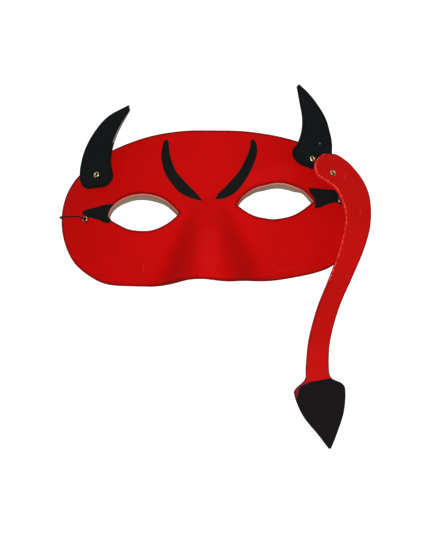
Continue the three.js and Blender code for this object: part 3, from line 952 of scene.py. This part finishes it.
def brass_eyelet(name, eyelet, sizes, top_height, top_thickness, material):
    """A tube with a rolled flange on the top sheet's front and another on the mask's back"""
    bore, flange = sizes
    top_middle = pierced(top_height, eyelet)[:2]
    top_normal = normal_of(top_height, *top_middle)
    top = off(top_height, top_middle, top_thickness / 2 - FLANGE_BEDDING)
    low_normal = -normal_of(mask_height, *eyelet)
    low = off(mask_height, eyelet, -MASK_THICKNESS / 2 + FLANGE_BEDDING)
    # The roll's section, as radii and heights
    roll = [
        (bore, -0.5), (bore, 0.1), (bore + 0.08, 0.3), (bore + 0.3, FLANGE_RISE),
        (flange - 0.4, FLANGE_RISE), (flange - 0.12, 0.3), (flange, 0.08), (flange, -0.05),
        (flange - 0.15, -0.12), (bore + 0.35, -0.15),
    ]
    profile = [(top, top_normal, *spot) for spot in roll[::-1]]
    profile += [(low, low_normal, *spot) for spot in roll]
    sides = EYELET_SIDES
    vertices = []
    for centre, normal, radius, rise in profile:
        across = unit(np.cross([0, 1, 0], normal))
        fore = np.cross(normal, across)
        flip = 1 if normal[2] > 0 else -1
        for k in range(sides):
            angle = math.tau * k / sides * flip
            spoke = flip * (math.cos(angle) * across + math.sin(angle) * fore)
            vertices.append(centre + normal * rise + radius * spoke)
    starts = range(0, len(vertices), sides)
    faces = [
        (one + k, one + (k + 1) % sides, two + (k + 1) % sides, two + k)
        for one, two in zip(starts, [*starts[1:], 0]) for k in range(sides)
    ]
    # The bore's points: the brass there is rougher and has painted shade
    deep = [float(radius == bore) for _, _, radius, _ in profile for _ in range(sides)]
    return add_piece(name, vertices, faces, [material], {"deep": deep})


def hole_at(height, eyelet, radius):
    """The hole in a sheet that an eyelet goes through"""
    centre = pierced(height, eyelet)[:2]
    angles = np.linspace(0, math.tau, HOLE_SIDES, endpoint=False)
    return centre + radius * np.stack([np.cos(angles), np.sin(angles)], axis=1)


# How far the knife leans along the upper rims of the eye holes, at places across the face, and the
# height above which it leans
LEFT_LEAN = [(-58, 0.1), (-56.5, 1.2), (-54, 1.8), (-47, 2.8), (-40, 3.1), (-31, 3.6), (-20, 3.3)]
RIGHT_LEAN = [(16, 1.6), (25, 2.4), (38, 2.5), (45, 2.6), (51, 2.4), (56, 0.4)]
LEFT_SILL = -4
RIGHT_SILL = -1.6
LEAN_RISE = 2
# Rims are told apart by their number of points: an eyelet's hole has fewer than the first, and the
# mask's own edge more than the second
HOLE_POINTS = 60
EYE_POINTS = 300


def eye_lean(ring):
    """How far the back of a rim stands below its front"""
    shift = np.zeros_like(ring)
    if not HOLE_POINTS <= len(ring) <= EYE_POINTS:
        return shift
    x, y = ring[:, 0], ring[:, 1]
    table, sill = (LEFT_LEAN, LEFT_SILL) if x.mean() < 0 else (RIGHT_LEAN, RIGHT_SILL)
    lean = np.interp(x, *zip(*table))
    shift[:, 1] = -lean * np.clip(1 - (sill - y) / LEAN_RISE, 0, 1)
    return shift


# Where raw leather shows
EYE_BARE_ABOVE = -3
EDGE_BARE_BELOW = -34
EDGE_BARE_FROM = 40
HORN_BARE_FROM = 37
HORN_BARE_OVER = 14
TAIL_BARE_ABOVE = -46


def mask_bare(ring):
    """Raw leather shows along the upper rims of the eye holes and the right end of the lower edge"""
    x, y = ring[:, 0], ring[:, 1]
    if len(ring) < EYE_POINTS:
        return np.where(y > EYE_BARE_ABOVE, 1.0, 0.1)
    return np.where((y < EDGE_BARE_BELOW) & (x > EDGE_BARE_FROM), 0.5, 0.05)


def horn_bare(ring):
    """The left horn's cut is grey above the mask's edge, on the inner side"""
    shown = (leather_left(ring)[:, 0] < -0.3) & (ring[:, 0] < 0)
    return np.where(shown, smooth((ring[:, 1] - HORN_BARE_FROM) / HORN_BARE_OVER), 0.0)


def tail_bare(ring):
    """The tail's inner edge has raised fibres where it crosses the mask"""
    shown = (leather_left(ring)[:, 0] > 0.2) & (ring[:, 1] > TAIL_BARE_ABOVE) & (len(ring) > HOLE_POINTS)
    return np.where(shown, 1.0, 0.0)


# The mask's slow, shallow unevenness from moulding by hand, and the dents round its lacing eyelets
HAND_DEPTH = 0.35
HAND_SIZE = 19
HAND_SEED = 3.1
DENT_DEPTH = 0.2
DENT_RADIUS = 3.2
DENT_SLOPE = 2


def mask_relief(plan):
    lift = np.array([noise.noise(Vector((x / HAND_SIZE, y / HAND_SIZE, HAND_SEED))) for x, y in plan])
    lift *= HAND_DEPTH
    for eyelet in (LEFT_LACING, RIGHT_LACING):
        gap = np.linalg.norm(plan - np.array(eyelet), axis=1)
        lift -= DENT_DEPTH * smooth((DENT_RADIUS - gap) / DENT_SLOPE)
    return lift


# Colours of the marks on the leather; some marks are painted shade and some painted highlight
# Dark red of real creases, also used for two broad marks of painted shade
CREASE_AND_PAINTED_SHADE = (0.16, 0.001, 0.001)
FRESH = (0.42, 0.0012, 0.0015)
SCRATCH = (0.5, 0.03, 0.028)
# Paler red: on the nose ridge it is rubbed leather together with painted highlight where the light
# falls, above the right eye it is painted highlight alone
RUBBED_AND_PAINTED_HIGHLIGHT = (0.375, 0.0035, 0.003)
# Dark wine red, painted shade along the spade's red shoulder
SPADE_SHOULDER_PAINTED_SHADE = (0.08, 0.009, 0.018)
HORN_SPECK = (0.085, 0.095, 0.095)
# Each mark is its two ends in plan, its inner and outer half width, its strength and its colour
MASK_MARKS = [
    # Nose ridge: partly rubbed leather, partly painted highlight
    ((-1, -22), (-1.4, -37), 2, 9, 0.5, RUBBED_AND_PAINTED_HIGHLIGHT),
    # Painted highlight above the right eye
    ((26, 14), (46, 18.5), 2, 8, 0.35, RUBBED_AND_PAINTED_HIGHLIGHT),
    # Painted shade left of the nose
    ((-8.8, -10), (-8.3, -19.5), 1, 6, 0.08, CREASE_AND_PAINTED_SHADE),
    # Painted shade below and outside the left eye
    ((-72, -6), (-53, -12), 1, 8, 0.07, CREASE_AND_PAINTED_SHADE),
    ((-7, -43.6), (11, -45.3), 0.4, 1.3, 0.3, FRESH),
    ((-61, -37.2), (-45, -40.6), 0.4, 1.3, 0.3, FRESH),
    ((-57.5, -39.2), (-46, -41.1), 0.1, 0.6, 0.4, CREASE_AND_PAINTED_SHADE),
    ((-67, -34), (-63.5, -34.5), 0.2, 0.7, 0.35, CREASE_AND_PAINTED_SHADE),
    ((-36, -42), (-31.5, -41.9), 0.2, 0.7, 0.3, CREASE_AND_PAINTED_SHADE),
    ((-22, -41), (-17, -41.6), 0.1, 0.5, 0.2, SCRATCH),
    ((-39.6, -31.5), (-39.8, -35.2), 0.1, 0.7, 0.15, SCRATCH),
    ((-75.1, 14.5), (-75.3, 20), 0.1, 0.8, 0.05, SCRATCH),
    ((-81, -20.5), (-80.6, -23), 0.1, 0.8, 0.25, SCRATCH),
    ((23.4, -42.5), (30, -42.7), 0.1, 0.5, 0.1, SCRATCH),
    ((30, -43.6), (44, -42.2), 0.2, 0.7, 0.35, CREASE_AND_PAINTED_SHADE),
    ((37, -40.5), (47, -39.2), 0.1, 0.5, 0.1, SCRATCH),
    ((57, -37.4), (66, -34), 0.3, 1.1, 0.15, CREASE_AND_PAINTED_SHADE),
]
TAIL_MARKS = [
    ((80.7, 13.2), (82.4, 17), 0.1, 0.8, 0.2, SCRATCH),
    ((88.6, -5), (88.9, -8), 0.1, 0.8, 0.2, SCRATCH),
    ((77.5, -44.5), (77.8, -45.2), 0.1, 0.7, 0.25, SCRATCH),
    ((72.5, -12.5), (72.7, -13), 0.1, 0.7, 0.25, SCRATCH),
    # Painted shade along the spade's red shoulder
    ((49.6, -101.4), (45.2, -105.6), 0.8, 1.8, 0.75, SPADE_SHOULDER_PAINTED_SHADE),
    ((45.2, -105.6), (43.4, -111), 1.4, 2.4, 0.9, SPADE_SHOULDER_PAINTED_SHADE),
]
HORN_MARKS = [((67.9, 36.1), (68.1, 36.4), 0.25, 0.6, 1, HORN_SPECK)]

# How far apart the points of a rim and of the paint's edge are
STEP = 0.7
PAINT_STEP = 0.5


def painted(runs):
    return counterclockwise(ring_of(runs, PAINT_STEP))


def build_leather():
    flesh = flesh_side("leather_flesh", SUEDE)
    black_flesh = flesh_side("leather_flesh_black", BLACK_SUEDE)
    black_paint = paint("black_paint", BLACK_PAINT)
    spade_paint = paint("spade_paint", SPADE_BLACK)
    red = leather("red_leather", RED, RED_BURNT, marks=MASK_MARKS)
    tail_red = leather(
        "tail_leather", TAIL_RED, TAIL_BURNT, raised=TAIL_FIBRES, marks=TAIL_MARKS, burnt=1.4)
    black = leather("black_leather", BLACK, BLACK_BURNT, specular=0.05, grain=0.08, marks=HORN_MARKS)
    mask_cut = cut_edge("mask_cut", *MASK_CUT, bare_to=4)
    # The tail's cut gets painted light
    tail_cut_painted_light = cut_edge("tail_cut_painted_light", *TAIL_CUT_PAINTED_LIGHT, bare_to=0.35)
    horn_cut = cut_edge("horn_cut", *HORN_CUT, bare_to=2)

    holes = [ring_of(LEFT_EYE, STEP), ring_of(RIGHT_EYE, STEP)]
    holes += [
        hole_at(mask_height, place, FIXING_HOLE)
        for place in (LEFT_HORN_EYELET, RIGHT_HORN_EYELET, TAIL_EYELET)
    ]
    holes += [hole_at(mask_height, place, LACING_HOLE) for place in (LEFT_LACING, RIGHT_LACING)]
    mask = leather_sheet(
        "leather_mask", ring_of(MASK_EDGE, STEP, closed=True), holes, mask_height, MASK_THICKNESS,
        (red, black_paint, mask_cut, flesh),
        paint=[painted(runs) for runs in (LEFT_BROW, RIGHT_BROW, LEFT_DART, RIGHT_DART)],
        lean=eye_lean, relief=mask_relief, bare=mask_bare)
    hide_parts("mask")

    horns = []
    for side, inner, outer, height, place in (
        ("left", LEFT_HORN_INNER, LEFT_HORN_OUTER, left_horn_height, LEFT_HORN_EYELET),
        ("right", RIGHT_HORN_INNER, RIGHT_HORN_OUTER, right_horn_height, RIGHT_HORN_EYELET),
    ):
        horn = leather_sheet(
            "leather_horn_" + side, strip_ring(inner, outer, STEP),
            [hole_at(height, place, FIXING_HOLE)], height, HORN_THICKNESS,
            (black, black_paint, horn_cut, black_flesh), bare=horn_bare, step=0.8)
        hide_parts("horn_" + side)
        horns.append(horn)

    tail = leather_sheet(
        "leather_tail", strip_ring(TAIL_INNER, TAIL_OUTER, STEP),
        [hole_at(tail_height, TAIL_EYELET, FIXING_HOLE)], tail_height, TAIL_THICKNESS,
        (tail_red, spade_paint, tail_cut_painted_light, flesh), paint=[painted(SPADE_PAINT)], paint_sides=True,
        bare=tail_bare, step=0.9)
    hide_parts("tail")
    return [mask, *horns, tail]


def build_eyelets():
    brass = brass_metal("brass", *BRASS)
    pink_brass_painted_reflection = brass_metal("pink_brass_painted_reflection", *PINK_BRASS_PAINTED_REFLECTION)
    pieces = []
    for name, place, sizes, height, thickness in (
        ("eyelet_horn_left", LEFT_HORN_EYELET, FIXING, left_horn_height, HORN_THICKNESS),
        ("eyelet_horn_right", RIGHT_HORN_EYELET, FIXING, right_horn_height, HORN_THICKNESS),
        ("eyelet_tail", TAIL_EYELET, FIXING, tail_height, TAIL_THICKNESS),
        ("eyelet_lace_left", LEFT_LACING, LACING, mask_height, MASK_THICKNESS),
        ("eyelet_lace_right", RIGHT_LACING, LACING, mask_height, MASK_THICKNESS),
    ):
        # The lacing eyelets get the brass with the painted red reflection
        metal = pink_brass_painted_reflection if sizes == LACING else brass
        piece = brass_eyelet("brass_" + name, place, sizes, height, thickness, metal)
        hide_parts(name)
        pieces.append(piece)
    return pieces


def build_strap():
    elastic = braided_elastic()
    route = np.array(STRAP_ROUTE) / MM
    path = centripetal(route)
    strap = tube("elastic_strap", path, elastic)
    for side, place in (("left", LEFT_LACING), ("right", RIGHT_LACING)):
        knot = overhand_knot("elastic_knot_" + side, place, elastic)
        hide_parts("strap_knot_" + side)
        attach(knot, "root")
    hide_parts("strap")
    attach(strap, "root")


# The studio
FLOOR_SIZE = 12
KEY_STRENGTH = 4.3
KEY_POWER = KEY_STRENGTH * 4 * math.pi * (CAMERA_DISTANCE * MM) ** 2
KEY_RADIUS = 0.006
TOP_STRENGTH = 1.3
TOP_TOWARD_FOREHEAD = math.radians(55)
TOP_ANGLE = math.radians(35)
FILL_STRENGTH = 0.1


def add_floor():
    half = FLOOR_SIZE / 2
    corners = [(-half, -half, 0), (half, -half, 0), (half, half, 0), (-half, half, 0)]
    mesh = bpy.data.meshes.new("floor")
    mesh.from_pydata(corners, [], [(0, 1, 2, 3)])
    material, tree = material_tree("floor")
    set_surface(tree, FLOOR_COLOUR, roughness=0.9, specular=0.1)
    mesh.materials.append(material)
    floor = add_object("floor", mesh)


def add_lights():
    """A flash at the camera, a soft light from the forehead's side and a faint fill"""
    _, up, back = look_down()
    key = add_object("key", bpy.data.lights.new("key", "POINT"))
    key.data.energy = KEY_POWER
    key.data.shadow_soft_size = KEY_RADIUS
    key.location = placed(CAMERA_TARGET + CAMERA_DISTANCE * back)

    top = add_object("top", bpy.data.lights.new("top", "SUN"))
    top.data.energy = TOP_STRENGTH
    top.data.angle = TOP_ANGLE
    top.data.use_shadow = False
    toward = math.sin(TOP_TOWARD_FOREHEAD) * up + math.cos(TOP_TOWARD_FOREHEAD) * back
    side = unit(np.cross([0, 1, 0], toward))
    top.matrix_world = aimed((side, np.cross(toward, side), toward), (0, 0, 1))

    world = bpy.data.worlds.new("studio")
    world.use_nodes = True
    backdrop = {"Color": (1, 1, 1, 1), "Strength": FILL_STRENGTH}
    set_inputs(world.node_tree, world.node_tree.nodes["Background"], backdrop)
    bpy.context.scene.world = world
    bpy.context.scene.view_settings.view_transform = "Standard"


add_camera()
build_strap()
for piece in [*build_leather(), *build_eyelets()]:
    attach(piece, "root")
add_floor()
add_lights()
